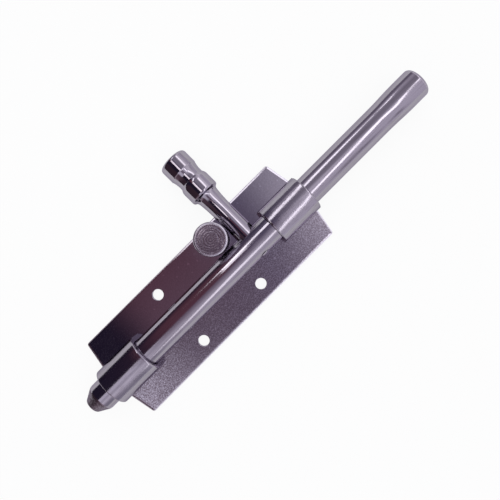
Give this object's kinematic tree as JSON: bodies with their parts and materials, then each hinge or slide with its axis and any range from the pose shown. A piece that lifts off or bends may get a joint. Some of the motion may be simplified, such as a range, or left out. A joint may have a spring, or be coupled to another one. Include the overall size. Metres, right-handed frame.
{
  "type": "vertical bolt",
  "caption": "Round sliding bolt with a turned side handle, held by round straps on a shallow-pointed back plate, with a round-headed stop post.",
  "frame": {"origin": "centre of the back plate's back face, where it rests on the door", "axes": "+Z out of the plate, +Y along the bar towards its tail, which is up in use, and the handle lies towards -X"},
  "size_m": [0.0892, 0.2442, 0.0218],
  "materials": {
    "plated_plate": "plated steel sheet, satin with fine grain",
    "plated_strap": "bright plated steel",
    "turned_post": "plated steel with turning rings on its head",
    "polished_bar": "bright plated round steel",
    "polished_handle": "bright plated turned steel"
  },
  "bodies": {
    "base": {"back_plate": "plated_plate", "lower_strap": "plated_strap", "upper_strap": "plated_strap", "stop_post": "turned_post"},
    "rod_end": {"bolt_nose": "polished_bar"},
    "bolt": {"bolt_bar": "polished_bar", "handle": "polished_handle"}
  },
  "joints": [
    {"name": "bolt_lift", "type": "slide", "parent": "base", "child": "rod_end", "axis": [0, 1, 0], "range_m": [-0.0034, 0.0065]},
    {"name": "bolt_turn", "type": "hinge", "parent": "rod_end", "child": "bolt", "pos_m": [0, -0.0602, 0.0108], "axis": [0, 1, 0], "range_deg": [0, 184]}
  ]
}
